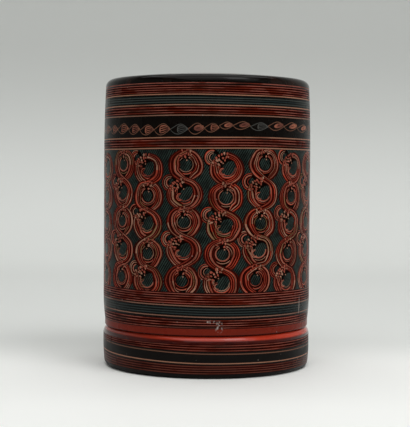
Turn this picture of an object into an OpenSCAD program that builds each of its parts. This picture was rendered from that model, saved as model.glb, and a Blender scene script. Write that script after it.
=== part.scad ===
// Betel box of lacquered bamboo. A deep cover slides down over an inner drum and rests on the
// wider collar round its foot. Two trays are stacked in the drum, the lower one on a ledge.
// +Z is up, the origin is the middle of the standing ring on the table, sizes in millimetres.

/* [Overall] */
// Outer diameter of the cover and of the base collar
outer_d = 110; // [96:1:130]
// Height of the collar, from the table to the seam under the cover
collar_h = 21.2; // [18:0.2:28]
// Height of the whole cover, from the seam to the top of its dome
cover_h = 133.2; // [120:0.2:160]
// Height from the lip of the drum to the top of the dome
headroom = 24.4; // [20:0.2:32]

/* [Cover] */
// Thickness of the cover's wall
cover_wall_t = 3; // [2.6:0.1:4]
// Height of the plain hoop round the mouth
mouth_hoop_h = 3.8; // [3:0.2:7]
// Rounding of the hoop's lower outer edge
mouth_round = 1; // [0.6:0.1:1.2]
// How far the mouth draws in from the widest part of the wall
mouth_draw = 0.85; // [0.4:0.05:1.1]
// Height above the seam at which the wall reaches its full width
mouth_taper_h = 16.4; // [10:0.2:30]
// How far the top of the wall draws in from its widest part
top_draw = 0.8; // [0.4:0.05:1.2]
// Length of the taper below the crown
top_taper_h = 34; // [20:0.5:50]

/* [Crown] */
// Height of the crown above the end of the wall
crown_h = 8.4; // [7.5:0.1:10]
// Thickness of the crown
crown_t = 3.2; // [2.6:0.1:4]
// Rise of the dome from its edge to its middle
dome_rise = 3.6; // [2.5:0.1:4]
// Rounding of the crown's edge
crown_round = 4; // [2.5:0.1:4.5]
// Depth of the crown's inner rim, which sits inside the wall
spigot_h = 2.5; // [1.5:0.1:4]
// Width of that inner rim
spigot_w = 3; // [2:0.1:4]

/* [Base collar and floor] */
// Radius of the collar's rounded shoulder
shoulder_r = 5; // [4:0.1:6]
// How much of that rounding the flat seat of the cover takes away
seat_cut = 0.8; // [0.5:0.05:1.2]
// How far the collar draws in towards its foot
foot_draw = 0.7; // [0.3:0.05:1]
// Height above the table at which the collar reaches its full width
foot_taper_h = 12; // [8:0.5:13]
// Rounding of the collar's foot
foot_round = 3; // [1.5:0.1:4]
// Height of the standing ring below the floor plate
foot_h = 2; // [1:0.1:4]
// How far the standing ring reaches in under the floor plate
foot_w = 4.5; // [3:0.1:8]
// Thickness of the floor plate
plate_t = 3.5; // [3:0.1:5]
// Thickness of the plate's edge, which the drum stands on
plate_edge_t = 1.5; // [1:0.1:2.4]

/* [Drum] */
// Thickness of the drum's wall
drum_wall_t = 2.6; // [2.2:0.1:3.6]
// Height of the lip on top of the drum
drum_lip_h = 3; // [2:0.1:5]
// Rounding of the lip's two upper edges
drum_lip_round = 1.1; // [0.5:0.1:1.1]
// Thickness of the tray ledge at its inner edge
ledge_t = 1.5; // [1:0.1:3]
// Width of the tray ledge
ledge_w = 4; // [3:0.1:6]
// Height of the sloping underside of the ledge
ledge_slope = 4; // [2:0.1:7]

/* [Trays] */
// Height of the upper tray
upper_tray_h = 32; // [22:0.5:38]
// Height of the lower tray
lower_tray_h = 30; // [22:0.5:36]
// How far the upper tray stands above the drum's lip, to be gripped
tray_stand = 2; // [1:0.1:4]
// Thickness of the tray walls
tray_wall_t = 2; // [1.6:0.1:2.6]
// Thickness of the tray floors
tray_floor_t = 2.6; // [2.2:0.1:3.5]
// Thickness of the floor's edge, which the wall stands on
tray_edge_t = 1.2; // [0.8:0.1:1.8]
// Rounding under the floor's edge
tray_foot_round = 0.6; // [0.3:0.1:0.7]
// Height of the tray rims
tray_rim_h = 3.6; // [2.4:0.1:5]
// Thickness of the tray rims
tray_rim_t = 3; // [2.8:0.1:4]
// Rounding of the rim's inner edges
tray_rim_round = 0.9; // [0.4:0.1:1.1]

/* [Fits] */
// Gap all round between the cover and the drum
cover_fit = 0.4; // [0.3:0.05:0.8]
// Gap all round between the drum and the trays
tray_fit = 0.5; // [0.3:0.05:0.8]
// Thickness of the lacquer bond between two curved faces
bond = 0.1; // [0.05:0.01:0.15]

/* [Hidden] */
$fn = 256;
outer_r = outer_d / 2;
cover_bore_r = outer_r - cover_wall_t;
mouth_r = outer_r - mouth_draw;
top_r = outer_r - top_draw;
drum_r = cover_bore_r - cover_fit;
drum_bore_r = drum_r - drum_wall_t;
tray_r = drum_bore_r - tray_fit;
tray_bore_r = tray_r - tray_wall_t;
ledge_bore_r = drum_bore_r - ledge_w;

box_top = collar_h + cover_h;
wall_bottom = collar_h + mouth_hoop_h;
wall_top = box_top - crown_h;
drum_top = box_top - headroom;
drum_bottom = foot_h + plate_edge_t;
upper_tray_z = drum_top + tray_stand - upper_tray_h;
lower_tray_z = upper_tray_z - lower_tray_h;

// The arc that draws the wall in: tangent to the straight wall, through the given offset
function taper_r(length, draw) = (length * length + draw * draw) / (2 * draw);
mouth_arc_z = collar_h + mouth_taper_h;
mouth_arc_r = taper_r(mouth_taper_h - mouth_hoop_h, mouth_draw);
top_arc_z = wall_top - top_taper_h;
top_arc_r = taper_r(top_taper_h, top_draw);
foot_arc_r = taper_r(foot_taper_h, foot_draw);
foot_arc_x = outer_r - foot_arc_r;

// The foot's rounded edge is tangent to that last arc and to the table
foot_x = foot_arc_x + sqrt(pow(foot_arc_r - foot_round, 2) - pow(foot_taper_h - foot_round, 2));

// The dome is part of a sphere, and the crown's rounded edge is tangent to it and to the wall
dome_r = (top_r * top_r + dome_rise * dome_rise) / (2 * dome_rise);
dome_z = box_top - dome_r;
edge_x = top_r - crown_round;
edge_z = dome_z + sqrt(pow(dome_r - crown_round, 2) - edge_x * edge_x);

// A band in the half section, from one radius and height to another
module band(r_in, r_out, z_low, z_high) {
  translate([r_in, z_low])
    square([r_out - r_in, z_high - z_low]);
}

// What a rounded corner takes off, with the solid lying on the side given by sx and sz
module corner_cut(x, z, r, sx, sz) {
  translate([x, z])
    difference() {
      translate([sx > 0 ? -1 : -r, sz > 0 ? -1 : -r])
        square(r + 1);
      translate([sx * r, sz * r])
        circle(r = r);
    }
}

// What lies outside the rounded edge of the crown
module crown_edge_cut() {
  reach = (dome_r + 6) / (dome_r - crown_round);
  difference() {
    polygon([
      [edge_x, edge_z],
      [top_r + 4, edge_z],
      [top_r + 4, dome_z + (edge_z - dome_z) * reach],
      [edge_x * reach, dome_z + (edge_z - dome_z) * reach]
    ]);
    translate([edge_x, edge_z])
      circle(r = crown_round);
  }
}

// What lies outside the rounded edge of the foot
module foot_edge_cut() {
  reach = (foot_arc_r + 2) / (foot_arc_r - foot_round);
  difference() {
    polygon([
      [foot_x, foot_round],
      [foot_x, -1],
      [outer_r + 1, -1],
      [foot_arc_x + (foot_x - foot_arc_x) * reach, foot_taper_h + (foot_round - foot_taper_h) * reach]
    ]);
    translate([foot_x, foot_round])
      circle(r = foot_round);
  }
}

module base_collar() {
  color("firebrick")
    rotate_extrude()
      difference() {
        union() {
          band(drum_r + bond, outer_r, foot_taper_h, collar_h);
          intersection() {
            union() {
              band(drum_r + bond, outer_r, 0, foot_taper_h);
              band(drum_r - foot_w, outer_r, 0, foot_h);
            }
            translate([foot_arc_x, foot_taper_h])
              circle(r = foot_arc_r);
          }
        }
        corner_cut(outer_r, collar_h + seat_cut, shoulder_r, -1, -1);
        foot_edge_cut();
      }
}

module base_plate() {
  color("black")
    rotate_extrude() {
      band(0, drum_r, foot_h, drum_bottom);
      band(0, drum_bore_r - bond, foot_h, foot_h + plate_t);
    }
}

module drum_wall() {
  color("orangered")
    rotate_extrude()
      band(drum_bore_r, drum_r, drum_bottom, drum_top - drum_lip_h);
}

module drum_lip() {
  color("darkred")
    rotate_extrude()
      difference() {
        band(drum_bore_r, drum_r, drum_top - drum_lip_h, drum_top);
        corner_cut(drum_r, drum_top, drum_lip_round, -1, -1);
        corner_cut(drum_bore_r, drum_top, drum_lip_round, 1, -1);
      }
}

// The sloping underside keeps leaves from catching under the ledge
module tray_ledge() {
  edge_low = lower_tray_z - ledge_t;
  color("darkred")
    rotate_extrude()
      polygon([
        [ledge_bore_r, lower_tray_z],
        [ledge_bore_r, edge_low],
        [drum_bore_r - bond, edge_low - ledge_slope],
        [drum_bore_r - bond, lower_tray_z]
      ]);
}

module cover_wall() {
  color("saddlebrown")
    rotate_extrude() {
      intersection() {
        band(cover_bore_r, outer_r, wall_bottom, mouth_arc_z);
        translate([outer_r - mouth_arc_r, mouth_arc_z])
          circle(r = mouth_arc_r);
      }
      band(cover_bore_r, outer_r, mouth_arc_z, top_arc_z);
      intersection() {
        band(cover_bore_r, outer_r, top_arc_z, wall_top);
        translate([outer_r - top_arc_r, top_arc_z])
          circle(r = top_arc_r);
      }
    }
}

// A dome of even thickness, with a rim that sits on the wall and reaches a little way inside it
module cover_crown() {
  rim_r = cover_bore_r - bond;
  color("black")
    rotate_extrude()
      difference() {
        union() {
          intersection() {
            band(0, top_r, wall_top, box_top + 1);
            translate([0, dome_z])
              circle(r = dome_r);
          }
          band(rim_r - spigot_w, rim_r, wall_top - spigot_h, wall_top + 1);
        }
        intersection() {
          band(-1, rim_r - spigot_w, wall_top - 1, box_top);
          translate([0, dome_z])
            circle(r = dome_r - crown_t);
        }
        crown_edge_cut();
      }
}

module cover_mouth_hoop() {
  color("firebrick")
    rotate_extrude()
      difference() {
        band(cover_bore_r, mouth_r, collar_h, wall_bottom);
        corner_cut(mouth_r, collar_h, mouth_round, -1, 1);
      }
}

module tray_floor(z) {
  color("black")
    rotate_extrude()
      difference() {
        union() {
          band(0, tray_r, z, z + tray_edge_t);
          band(0, tray_bore_r - bond, z, z + tray_floor_t);
        }
        corner_cut(tray_r, z, tray_foot_round, -1, 1);
      }
}

module tray_wall(z, h) {
  color("orangered")
    rotate_extrude()
      band(tray_bore_r, tray_r, z + tray_edge_t, z + h - tray_rim_h);
}

// The rim is thicker than the wall, so that a finger can lift the tray by its inner edge
module tray_rim(z, h) {
  rim_bore_r = tray_r - tray_rim_t;
  color("darkred")
    rotate_extrude()
      difference() {
        band(rim_bore_r, tray_r, z + h - tray_rim_h, z + h);
        corner_cut(tray_r, z + h, tray_foot_round, -1, -1);
        corner_cut(rim_bore_r, z + h, tray_rim_round, 1, -1);
        corner_cut(rim_bore_r, z + h - tray_rim_h, tray_rim_round, 1, 1);
      }
}

module lower_tray_floor() {
  tray_floor(lower_tray_z);
}

module lower_tray_wall() {
  tray_wall(lower_tray_z, lower_tray_h);
}

module lower_tray_rim() {
  tray_rim(lower_tray_z, lower_tray_h);
}

module upper_tray_floor() {
  tray_floor(upper_tray_z);
}

module upper_tray_wall() {
  tray_wall(upper_tray_z, upper_tray_h);
}

module upper_tray_rim() {
  tray_rim(upper_tray_z, upper_tray_h);
}

base_collar();
base_plate();
drum_wall();
drum_lip();
tray_ledge();
cover_wall();
cover_crown();
cover_mouth_hoop();
lower_tray_floor();
lower_tray_wall();
lower_tray_rim();
upper_tray_floor();
upper_tray_wall();
upper_tray_rim();
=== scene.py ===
import random
from math import asin, atan2, ceil, cos, degrees, hypot, pi, radians, sin, sqrt

import bpy
from mathutils import Matrix, Vector
from mathutils.geometry import delaunay_2d_cdt


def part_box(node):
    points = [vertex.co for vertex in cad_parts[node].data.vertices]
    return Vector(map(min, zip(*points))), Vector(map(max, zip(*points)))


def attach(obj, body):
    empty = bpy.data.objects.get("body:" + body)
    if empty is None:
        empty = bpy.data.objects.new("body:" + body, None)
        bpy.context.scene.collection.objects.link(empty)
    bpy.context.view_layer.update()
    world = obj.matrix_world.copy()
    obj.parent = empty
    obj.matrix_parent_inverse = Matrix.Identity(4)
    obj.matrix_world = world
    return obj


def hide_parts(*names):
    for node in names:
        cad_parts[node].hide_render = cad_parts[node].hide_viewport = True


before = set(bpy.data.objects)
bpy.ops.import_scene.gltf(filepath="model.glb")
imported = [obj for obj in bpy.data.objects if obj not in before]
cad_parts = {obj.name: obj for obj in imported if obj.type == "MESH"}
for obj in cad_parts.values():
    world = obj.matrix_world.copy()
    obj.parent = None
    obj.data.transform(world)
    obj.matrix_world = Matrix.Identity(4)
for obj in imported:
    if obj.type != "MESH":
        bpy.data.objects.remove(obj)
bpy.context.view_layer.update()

# Sizes are in millimetres and heights are from the table, until a mesh is written in metres.
MM = 0.001


def cad_size(node):
    """Radius, bottom and top of a turned CAD node."""
    low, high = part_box(node)
    return tuple(round(v / MM, 3) for v in (high.x, low.z, high.z))


# Turned shapes, as far as the frame shows them
OUTER_R, _, COLLAR_H = cad_size("base_collar")
_, FOOT_H, _ = cad_size("base_plate")
DRUM_R, _, _ = cad_size("drum_wall")
HOOP_R, _, _ = cad_size("cover_mouth_hoop")
_, WALL_BOTTOM, WALL_TOP = cad_size("cover_wall")
CROWN_R, SPIGOT_BOTTOM, BOX_TOP = cad_size("cover_crown")

# Turned shapes, as in the part's source
BOND = 0.1
COVER_WALL_T = 3.0
MOUTH_TAPER_H = 16.4
TOP_TAPER_H = 34.0
CROWN_ROUND = 4.0
CROWN_T = 3.2
DOME_RISE = 3.6
SPIGOT_W = 3.0
SHOULDER_R = 5.0
SEAT_CUT = 0.8
FOOT_ROUND = 3.0
FOOT_DRAW = 0.7
FOOT_TAPER_H = 12.0
FOOT_W = 4.5
COVER_BORE_R = OUTER_R - COVER_WALL_T
MOUTH_DRAW = OUTER_R - HOOP_R
TOP_DRAW = OUTER_R - CROWN_R
MOUTH_ARC_Z = COLLAR_H + MOUTH_TAPER_H
TOP_ARC_Z = WALL_TOP - TOP_TAPER_H

# Decorated zones of the cover, top and bottom height of each, and how deep their inlay lies
EYE_ZONE = (129.4, 120.5)
PANEL_ZONE = (114.0, 43.2)
INLAY_T = 0.6

# The collar's red shoulder: its lower edge, and the lower edge of the painted shade in the seam above it
SHOULDER_EDGE = 17.4
SEAM_SHADE_EDGE = 21.05

# How the hand led the lines: height, half the rise from the left edge to the right, and rise at both edges
HAND = [
    (0.0, 0.0, 0.0), (2.4, -0.4, 0.3), (7.8, -0.83, 0.57), (12.6, -1.13, 0.67), (16.8, -0.4, 0.2),
    (17.7, -0.1, 0.0), (COLLAR_H, 0.0, 0.0), (WALL_BOTTOM, 0.0, 0.0), (31.0, -0.47, 0.2),
    (36.4, -0.45, 0.0), (PANEL_ZONE[1], -0.3, 0.0), (PANEL_ZONE[0], 0.3, -0.24), (119.8, 0.36, -0.2),
    (130.5, 0.03, 0.0), (140.9, -0.19, 0.0), (WALL_TOP, 0.0, 0.0), (BOX_TOP, 0.0, 0.0),
]

# Ripples of the hand: rise, waves in a turn and drift with height
RIPPLES = ((0.07, 3, 0.11), (0.05, 7, -0.07))

# Edges that run true, and the distance over which the ripples set in
TRUE_EDGES = ((COLLAR_H, 6), (WALL_TOP, 4), (WALL_BOTTOM, 3), (0.0, 3))


def on_wall(radius, angle, z):
    """A point in metres. Angle 0 is the front, which faces -Y, and grows to the viewer's right."""
    return (radius * sin(angle) * MM, -radius * cos(angle) * MM, z * MM)


# Colours

def srgb(r, g, b):
    """A colour as it is read on a screen, 0 to 255, in the linear values that shaders take."""
    return tuple(((c / 255 + 0.055) / 1.055) ** 2.4 if c > 10 else c / 255 / 12.92 for c in (r, g, b))


def shade(colour, factor):
    return tuple(c * factor for c in colour)


# Colours that more than one lacquer has, as read on a screen
BLACK = (12, 8, 6)
MOUTH_RED = (108, 31, 18)
MOUTH_RED_THIN = (92, 30, 20)
# Painted shade in the seam where the cover's lower edge meets the collar
SEAM_SHADE_COLOUR = (40, 7, 3)

# Colours of wear and painted light: the first for chips and painted shade, the second for painted
# shade only, the third for wear, and the last for pale wear, dust and a painted highlight
WINE = srgb(48, 3, 0)
SHADED_RED = srgb(104, 36, 24)
FADED = srgb(30, 20, 15)
BARE_AND_SHEEN = srgb(166, 154, 147)


# Materials

# Places of the colours among a mix node's sockets
MIX_A, MIX_B, MIX_RESULT = 6, 7, 2


class Nodes:
    """A short way to write a material's node tree."""

    def __init__(self, name):
        self.material = bpy.data.materials.new(name)
        self.material.use_nodes = True
        self.tree = self.material.node_tree
        self.shader = self.tree.nodes["Principled BSDF"]
        self.place = self.add("TexCoord", {}, "Object")

    def plug(self, socket, value):
        if isinstance(value, bpy.types.NodeSocket):
            self.tree.links.new(value, socket)
        else:
            socket.default_value = value

    def add(self, kind, inputs, output=0, **settings):
        """Adds a node with its settings and inputs, and returns one of its outputs."""
        node = self.tree.nodes.new("ShaderNode" + kind)
        for key, value in settings.items():
            setattr(node, key, value)
        for key, value in inputs.items():
            self.plug(node.inputs[key], value)
        return node.outputs[output]

    def noise(self, scale, detail, stretch=None):
        place = self.place
        if stretch:
            place = self.add("Mapping", {"Vector": place, "Scale": stretch}, "Vector")
        return self.add("TexNoise", {"Vector": place, "Scale": scale, "Detail": detail}, "Fac")

    def axis(self, letter):
        return self.add("SeparateXYZ", {0: self.place}, letter)

    def length(self, vector):
        return self.add("VectorMath", {0: vector}, "Value", operation="LENGTH")

    def math(self, operation, a, b=0.0):
        return self.add("Math", {0: a, 1: b}, operation=operation)

    def span(self, value, low, high, to_low=0.0, to_high=1.0):
        ends = {"From Min": low, "From Max": high, "To Min": to_low, "To Max": to_high}
        return self.add("MapRange", {"Value": value, **ends}, interpolation_type="SMOOTHSTEP")

    def over(self, value, reach, start, end):
        """Goes from start to end while a distance in metres passes through a reach in millimetres."""
        return self.span(value, reach[0] * MM, reach[1] * MM, start, end)

    def mix(self, share, *colours):
        a, b = (c if isinstance(c, bpy.types.NodeSocket) else (*c, 1.0) for c in colours)
        return self.add("Mix", {"Factor": share, MIX_A: a, MIX_B: b}, MIX_RESULT, data_type="RGBA")

    def surface(self, colour, rough, gloss):
        for key, value in (("Base Color", colour), ("Roughness", rough), ("Specular IOR Level", gloss)):
            self.plug(self.shader.inputs[key], value)

    def bump(self, height, strength, depth):
        inputs = {"Height": height, "Strength": strength, "Distance": depth * MM}
        self.plug(self.shader.inputs["Normal"], self.add("Bump", inputs, "Normal"))


# Noise that the lacquer is made of, scale and detail
PATCHES = (6.0, 4.0)
SPECKS = (1400.0, 2.0)
DULL_SPOTS = (90.0, 5.0)
GRAIN = (320.0, 4.0)
WAVES = (70.0, 2.0)
FLECKS = (900.0, 5.0)
FADING = (5.0, 4.0)
CHIPS = (150.0, 4.0)
RUBBING = (240.0, 3.0)
DUST_SCALE = 420.0

# Stretch of a noise: a large number makes it fine along that axis
BROAD_PATCH = (6.0, 6.0, 60.0)
GROUND_PATCH = (9.0, 9.0, 50.0)
LINE_PATCH = (12.0, 12.0, 60.0)
CROWN_PATCH = (14.0, 14.0, 14.0)
LEAF_PATCH = (24.0, 24.0, 24.0)
STROKE_PATCH = (28.0, 28.0, 28.0)
FADING_PATCH = (9.0, 9.0, 120.0)

GLOSS = 0.05
LOW_GLOSS = 0.01
SPECK_SHARE = 0.35
SPECK_SHADE = 0.45
GRAIN_DEPTH = 0.2

# Marks low on the cover's front: angle, height, half width, half height, and whether it is ragged
# The ragged ones are scuffs of wear; the long thin one at the right is a painted highlight
SCUFFS_AND_SHEEN = ((6.8, 25.8, 2.6, 4.2, True), (2.2, 28.6, 3.4, 1.2, True), (60.6, 32.0, 0.4, 9.0, False))

# Painted shade on the shoulder: dim front left, dark foot and its slant; and how high its chips reach
SHADE_X = (-50.0, 5.0)
SHADE_Y = (-30.0, 0.0)
FOOT_SHADE_Z = (18.6, 19.6)
FOOT_SHADE_SLANT = 0.009
CHIP_H = 2.2

# Height over which the painted shade along the cover's lower edge ends
HOOP_SHADE_Z = (21.5, 22.1)

# Hatch lines: phase in a radian round and in a metre up, and where a wave starts and ends to be cut
HATCH_MAIN = (285.0, -2990.0, 0.0, 0.7)
HATCH_CROSS = (230.0, 4100.0, 0.35, 0.95)
HATCH_CROSS_SHARE = 0.3
HATCH_DRIFT = 9.0
HATCH_ROUGH = (0.22, 0.36)
HATCH_DEPTH = 0.05


def scuffs_and_sheen(n, base):
    """Pale scuffs where the lacquer was rubbed through, and a long streak that is a painted highlight."""
    flecks = n.span(n.noise(*FLECKS), 0.49, 0.62)
    for angle, z, half_w, half_h, ragged in SCUFFS_AND_SHEEN:
        spot = {"Vector": n.place, "Location": on_wall(OUTER_R, radians(angle), z),
                "Scale": (half_w * MM, half_w * MM, half_h * MM)}
        away = n.length(n.add("Mapping", spot, "Vector", vector_type="TEXTURE"))
        share = n.span(away, 0.35, 1.0, 0.9, 0.0)
        base = n.mix(n.math("MULTIPLY", share, flecks) if ragged else share, base, BARE_AND_SHEEN)
    return base


def dusted(n, base):
    """Sparse pale specks of dust and tiny nicks."""
    cells = n.add("TexVoronoi", {"Vector": n.place, "Scale": DUST_SCALE}, "Distance")
    chance = n.add("SeparateColor", {0: cells.node.outputs["Color"]}, "Red")
    dot = n.span(cells, 0.06, 0.16, 0.55, 0.0)
    return n.mix(n.math("MULTIPLY", dot, n.span(chance, 0.95, 0.99)), base, BARE_AND_SHEEN)


def faded(n, base):
    """Stretches along the lines where the red filling has worn away to the dark lacquer under it."""
    return n.mix(n.span(n.noise(*FADING, FADING_PATCH), 0.53, 0.66, 0.0, 0.65), base, FADED)


def chipped_and_shaded(n, base):
    """Painted shade at the shoulder's front left and foot, and chips of wear along its lower edge."""
    # Painted shade: the front left is darker
    left, front = n.over(n.axis("X"), SHADE_X, 0.8, 0.0), n.over(n.axis("Y"), SHADE_Y, 1.0, 0.0)
    base = n.mix(n.math("MULTIPLY", left, front), base, SHADED_RED)
    # Painted shade: the foot is darker, reaching higher on the left
    slant = n.math("ADD", n.axis("Z"), n.math("MULTIPLY", n.axis("X"), FOOT_SHADE_SLANT))
    base = n.mix(n.over(slant, FOOT_SHADE_Z, 0.95, 0.0), base, WINE)
    edge = n.over(n.axis("Z"), (SHOULDER_EDGE, SHOULDER_EDGE + CHIP_H), 0.34, 0.0)
    return n.mix(n.span(n.math("ADD", n.noise(*CHIPS), edge), 0.79, 0.88), base, WINE)


def painted_seam_shade(n, base):
    """Painted shade: a dark line along the cover's lower edge, where it meets the collar."""
    return n.mix(n.over(n.axis("Z"), HOOP_SHADE_Z, 0.92, 0.0), base, srgb(*SEAM_SHADE_COLOUR))


def dull(n, rough):
    """A roughness that changes in small spots."""
    return n.span(n.noise(*DULL_SPOTS), 0.3, 0.7, *rough)


def lacquer(name, colour, other, cover=(0.55, 0.72), rough=(0.2, 0.34), patch=BROAD_PATCH, gloss=GLOSS,
            wear_and_light=(dusted,), wave=0.0):
    """Polished lacquer: a colour that thins out to another one in patches, with specks, dull spots, wear and
    painted shade and highlights, and the faint unevenness of hand polish. A wave makes it less smooth."""
    n = Nodes(name + "_lacquer")
    colour, other = srgb(*colour), srgb(*other)
    base = n.mix(n.span(n.noise(*PATCHES, patch), *cover), colour, other)
    specks = n.span(n.noise(*SPECKS), 0.58, 0.78)
    base = n.mix(n.math("MULTIPLY", specks, SPECK_SHARE), base, shade(colour, SPECK_SHADE))
    for mark in wear_and_light:
        base = mark(n, base)
    n.surface(base, dull(n, rough), gloss)
    height = n.noise(*GRAIN)
    if wave:
        height = n.math("ADD", height, n.math("MULTIPLY", n.noise(*WAVES), wave))
    n.bump(height, 0.12, GRAIN_DEPTH)
    return n.material


def hatched(name, ground, line):
    """Black lacquer with fine slanted lines cut through to a green filling."""
    n = Nodes(name + "_lacquer")
    angle = n.math("ARCTAN2", n.axis("X"), n.math("MULTIPLY", n.axis("Y"), -1.0))
    drift = n.math("MULTIPLY", n.noise(*WAVES), HATCH_DRIFT)

    def cut(turns, rise, low, high):
        slant = n.math("ADD", n.math("MULTIPLY", angle, turns), n.math("MULTIPLY", n.axis("Z"), rise))
        return n.span(n.math("SINE", n.math("ADD", slant, drift)), low, high)

    both = n.math("MAXIMUM", cut(*HATCH_MAIN), n.math("MULTIPLY", cut(*HATCH_CROSS), HATCH_CROSS_SHARE))
    rubbed = n.span(n.noise(*RUBBING), 0.3, 0.62, 0.25, 1.0)
    colour = n.mix(n.math("MULTIPLY", both, rubbed), srgb(*ground), srgb(*line))
    n.surface(colour, dull(n, HATCH_ROUGH), GLOSS)
    n.bump(both, 0.15, -HATCH_DEPTH)
    return n.material


# Sets of marks of wear; the scuffs also bring a painted highlight
LINE_WEAR_AND_SHEEN = (faded, dusted, scuffs_and_sheen)
AGED_AND_SHEEN = dict(wear_and_light=(dusted, scuffs_and_sheen))
STROKE_LOOK = dict(cover=(0.42, 0.64), patch=STROKE_PATCH)

# Each lacquer: its colour, the colour that it thins out to, and how it differs from plain lacquer
LACQUERS = {
    # Grounds and plain faces
    "black": (BLACK, (20, 13, 10), AGED_AND_SHEEN),
    "crown": (BLACK, (36, 22, 17),
        dict(cover=(0.52, 0.72), rough=(0.07, 0.15), patch=CROWN_PATCH, gloss=0.1, wave=3.0)),
    "foot": ((17, 14, 12), (25, 19, 16), dict(rough=(0.3, 0.45))),
    "wine": ((36, 3, 0), (66, 13, 4),
        dict(cover=(0.53, 0.68), patch=GROUND_PATCH, gloss=LOW_GLOSS, wear_and_light=LINE_WEAR_AND_SHEEN)),
    "foot_wine": ((42, 8, 4), (26, 9, 7), dict(cover=(0.48, 0.66), gloss=0.03)),
    "dark_green": ((9, 11, 10), (12, 14, 14), AGED_AND_SHEEN),
    # The seam band and the hoop's lower edge carry painted shade where the cover meets the collar
    "seam": (SEAM_SHADE_COLOUR, (30, 9, 6), dict(rough=(0.4, 0.55), gloss=0.04)),
    "hoop": (MOUTH_RED, MOUTH_RED_THIN, dict(cover=(0.5, 0.8), wear_and_light=(dusted, scuffs_and_sheen, painted_seam_shade))),
    "mouth": (MOUTH_RED, MOUTH_RED_THIN, dict(cover=(0.5, 0.8), **AGED_AND_SHEEN)),
    "orange": ((172, 50, 30), (140, 38, 24), dict(cover=(0.45, 0.75), rough=(0.12, 0.22), gloss=0.28)),
    # The shoulder carries painted shade at its front left and foot
    "shoulder": ((182, 54, 32), (160, 46, 27),
        dict(cover=(0.45, 0.75), rough=(0.1, 0.2), gloss=0.3, wear_and_light=(dusted, chipped_and_shaded), wave=4.0)),
    "cut": ((9, 4, 2), (14, 5, 3), dict(gloss=LOW_GLOSS)),
    "gap": ((54, 8, 3), (40, 7, 3), dict(gloss=LOW_GLOSS)),
    # Lines round the box
    "red": ((140, 77, 65), (100, 35, 22), dict(cover=(0.46, 0.6), patch=LINE_PATCH, wear_and_light=LINE_WEAR_AND_SHEEN)),
    "low_red": ((128, 65, 53), (88, 33, 22),
        dict(cover=(0.48, 0.64), patch=LINE_PATCH, wear_and_light=(faded, dusted))),
    "foot_red": ((104, 55, 43), (84, 32, 20), dict(cover=(0.48, 0.64), patch=LINE_PATCH)),
    "ochre": ((156, 110, 88), (120, 70, 52), AGED_AND_SHEEN),
    "low_ochre": ((132, 94, 78), (94, 58, 46), AGED_AND_SHEEN),
    "green": ((58, 62, 59), (30, 40, 40), AGED_AND_SHEEN),
    "low_green": ((44, 51, 50), (24, 34, 35), AGED_AND_SHEEN),
    "grey": ((72, 71, 68), (52, 54, 52), {}),
    "brown": ((108, 74, 58), (70, 50, 42), {}),
    # Strokes of the panel and the eyes
    "stroke": ((149, 74, 58), (116, 54, 41), STROKE_LOOK),
    "vivid": ((164, 62, 43), (120, 47, 34), STROKE_LOOK),
    "tan": ((164, 119, 98), (130, 89, 71), STROKE_LOOK),
    "olive": ((122, 92, 62), (98, 66, 46), {}),
    "deep": ((124, 46, 33), (92, 36, 27), {}),
    "leaf": ((150, 92, 72), (92, 54, 46), dict(cover=(0.4, 0.62), patch=LEAF_PATCH)),
}
MATERIALS = {key: lacquer(key, *colours, **look) for key, (*colours, look) in LACQUERS.items()}
MATERIALS["hatch"] = hatched("hatch", (7, 6, 5), (46, 60, 55))


# Meshes

SEGMENTS = 256
SHARP_DEG = 35

# A face's share of its piece's map. Lines on an outside face waver as the hand led them, the rest runs true.
OUTSIDE = 1.0
TRUE_OUTSIDE = 0.99
INSIDE = 0.3
MAP_STEP = 0.05


def hand_rise(z, angle):
    """How far the hand let a line at this height rise or sink on its way round."""
    for low, high in zip(HAND, HAND[1:]):
        if low[0] <= z <= high[0]:
            share = (z - low[0]) / (high[0] - low[0])
            tilt, ends = (a + (b - a) * share for a, b in zip(low[1:], high[1:]))
            break
    ripple = sum(rise * sin(waves * angle + drift * z) for rise, waves, drift in RIPPLES)
    fade = min(1.0, *(abs(z - edge) / reach for edge, reach in TRUE_EDGES))
    return tilt * sin(angle) + ends * sin(angle) ** 2 + ripple * fade


def wall_radius(z):
    if z < MOUTH_ARC_Z:
        return OUTER_R - MOUTH_DRAW * ((MOUTH_ARC_Z - z) / (MOUTH_ARC_Z - WALL_BOTTOM)) ** 2
    if z > TOP_ARC_Z:
        return OUTER_R - TOP_DRAW * ((z - TOP_ARC_Z) / (WALL_TOP - TOP_ARC_Z)) ** 2
    return OUTER_R


def add_object(name, data):
    thing = bpy.data.objects.new(name, data)
    bpy.context.scene.collection.objects.link(thing)
    return thing


def finish_mesh(name, vertices, faces, slots, maps, body):
    """Makes the object, with its materials, smooth faces, UV map and body."""
    mesh = bpy.data.meshes.new(name)
    mesh.from_pydata(vertices, [], faces)
    used = sorted(set(slots))
    for key in used:
        mesh.materials.append(MATERIALS[key])
    mesh.polygons.foreach_set("material_index", [used.index(key) for key in slots])
    layer = mesh.uv_layers.new(name="OFBake")
    layer.uv.foreach_set("vector", [c for corner in maps for c in corner])
    mesh.polygons.foreach_set("use_smooth", [True] * len(faces))
    mesh.set_sharp_from_angle(angle=radians(SHARP_DEG))
    mesh.update()
    piece = add_object(name, mesh)
    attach(piece, body)
    return piece


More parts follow.
